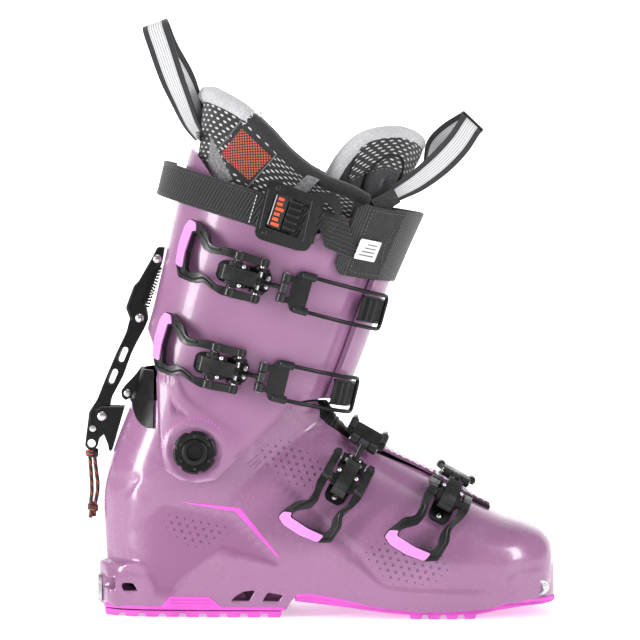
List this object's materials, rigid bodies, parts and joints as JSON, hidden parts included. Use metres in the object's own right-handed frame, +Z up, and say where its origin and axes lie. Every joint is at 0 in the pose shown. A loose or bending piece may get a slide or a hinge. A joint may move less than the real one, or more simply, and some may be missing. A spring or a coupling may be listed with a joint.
{
  "type": "alpine touring boot",
  "caption": "Right-foot alpine touring boot: rigid lower shell, pivoting cuff with rear walk lock, lever buckles, power strap and padded liner.",
  "frame": {"origin": "on the heel sole's ground face, straight below the ankle pivots, in the boot's middle plane", "axes": "+X towards the toe, +Y towards the inner side of this right-foot boot, +Z up"},
  "size_m": [0.2923, 0.1291, 0.3674],
  "materials": {
    "shell": "moulded lilac-pink plastic",
    "sole": "magenta rubber",
    "pad": "light pink plastic",
    "black": "satin black",
    "rubber": "black rubber",
    "steel": "polished steel",
    "bronze": "tan anodised metal",
    "liner": "black mesh over foam",
    "collar": "light grey cloth",
    "webbing": "black woven webbing",
    "cord": "black cord with orange flecks",
    "foam": "grey board"
  },
  "bodies": {
    "foot": {"lower_shell": "shell", "heel_sole": "sole", "fore_sole": "sole", "boot_board": "foam", "footbed": "collar", "toe_insert": "steel", "heel_insert": "steel", "pivot_lateral": "black", "pivot_medial": "black", "liner_foot": "liner", "instep_gasket": "rubber", "instep_flap": "shell", "rear_gusset": "black", "lock_bracket": "black", "instep_base": "black", "instep_rack": "black", "toe_base": "black", "toe_rack": "black"},
    "shaft": {"cuff": "shell", "liner_shaft": "liner", "tongue": "liner", "heel_loop": "webbing", "tongue_loop": "webbing", "strap_webbing": "webbing", "strap_front": "webbing", "strap_hook": "black", "strap_badge": "steel", "lock_plate": "black", "lock_rivet_top": "steel", "lock_rivet_pivot": "steel", "lock_spring": "steel", "cuff_upper_base": "black", "cuff_upper_rack": "black", "cuff_lower_base": "black", "cuff_lower_rack": "black"},
    "lock": {"lock_lever": "black"},
    "pull": {"pull_cord_a": "cord", "pull_cord_b": "cord", "pull_knot_high": "cord", "pull_knot_low": "cord"},
    "cuff_upper_lever": {"cuff_upper_lever": "black", "cuff_upper_grip": "pad", "cuff_upper_pin": "bronze"},
    "cuff_upper_bail": {"cuff_upper_adjuster": "black", "cuff_upper_bail": "black"},
    "cuff_lower_lever": {"cuff_lower_lever": "black", "cuff_lower_grip": "pad", "cuff_lower_pin": "bronze"},
    "cuff_lower_bail": {"cuff_lower_adjuster": "black", "cuff_lower_bail": "black"},
    "instep_lever": {"instep_lever": "black", "instep_grip": "pad", "instep_pin": "bronze"},
    "instep_bail": {"instep_adjuster": "black", "instep_bail": "black"},
    "toe_lever": {"toe_lever": "black", "toe_grip": "pad", "toe_pin": "bronze"},
    "toe_bail": {"toe_adjuster": "black", "toe_bail": "black"}
  },
  "joints": [
    {"name": "cuff_pivot", "type": "hinge", "parent": "foot", "child": "shaft", "pos_m": [0.0015, 0, 0.1027], "axis": [0, 1, 0], "range_deg": [-20, 4]},
    {"name": "lock_swing", "type": "hinge", "parent": "shaft", "child": "lock", "pos_m": [-0.034, 0, 0.182], "axis": [0, 1, 0], "range_deg": [0, 60]},
    {"name": "pull_cord_swing", "type": "hinge", "parent": "lock", "child": "pull", "pos_m": [-0.0643, 0, 0.104], "axis": [0, 1, 0], "range_deg": [-5, 23.5]},
    {"name": "cuff_upper_lever_hinge", "type": "hinge", "parent": "shaft", "child": "cuff_upper_lever", "pos_m": [0.04061, -0.0596, 0.20733], "axis": [0.2706, 0, 0.9627], "range_deg": [0, 105]},
    {"name": "cuff_upper_bail_hinge", "type": "hinge", "parent": "cuff_upper_lever", "child": "cuff_upper_bail", "pos_m": [0.0259, -0.06255, 0.21147], "axis": [0.2706, 0, 0.9627], "range_deg": [-126, 0]},
    {"name": "cuff_lower_lever_hinge", "type": "hinge", "parent": "shaft", "child": "cuff_lower_lever", "pos_m": [0.02686, -0.05422, 0.1524], "axis": [0.2317, 0, 0.9728], "range_deg": [0, 105]},
    {"name": "cuff_lower_bail_hinge", "type": "hinge", "parent": "cuff_lower_lever", "child": "cuff_lower_bail", "pos_m": [0.01212, -0.05746, 0.15591], "axis": [0.2317, 0, 0.9728], "range_deg": [-126, 0]},
    {"name": "instep_lever_hinge", "type": "hinge", "parent": "foot", "child": "instep_lever", "pos_m": [0.09769, -0.03762, 0.09472], "axis": [-0.8695, 0, 0.4939], "range_deg": [0, 90]},
    {"name": "instep_bail_hinge", "type": "hinge", "parent": "instep_lever", "child": "instep_bail", "pos_m": [0.09157, -0.0487, 0.08394], "axis": [-0.8695, 0, 0.4939], "range_deg": [-108, 0]},
    {"name": "toe_lever_hinge", "type": "hinge", "parent": "foot", "child": "toe_lever", "pos_m": [0.15769, -0.02906, 0.07806], "axis": [-0.8796, 0, 0.4756], "range_deg": [0, 105]},
    {"name": "toe_bail_hinge", "type": "hinge", "parent": "toe_lever", "child": "toe_bail", "pos_m": [0.15552, -0.04531, 0.07405], "axis": [-0.8796, 0, 0.4756], "range_deg": [-126, 0]}
  ],
  "couplings": [
    {"joint": "pull_cord_swing", "follows": "cuff_pivot", "ratio": -1.15},
    {"joint": "cuff_upper_bail_hinge", "follows": "cuff_upper_lever_hinge", "ratio": -1.2},
    {"joint": "cuff_lower_bail_hinge", "follows": "cuff_lower_lever_hinge", "ratio": -1.2},
    {"joint": "instep_bail_hinge", "follows": "instep_lever_hinge", "ratio": -1.2},
    {"joint": "toe_bail_hinge", "follows": "toe_lever_hinge", "ratio": -1.2}
  ]
}
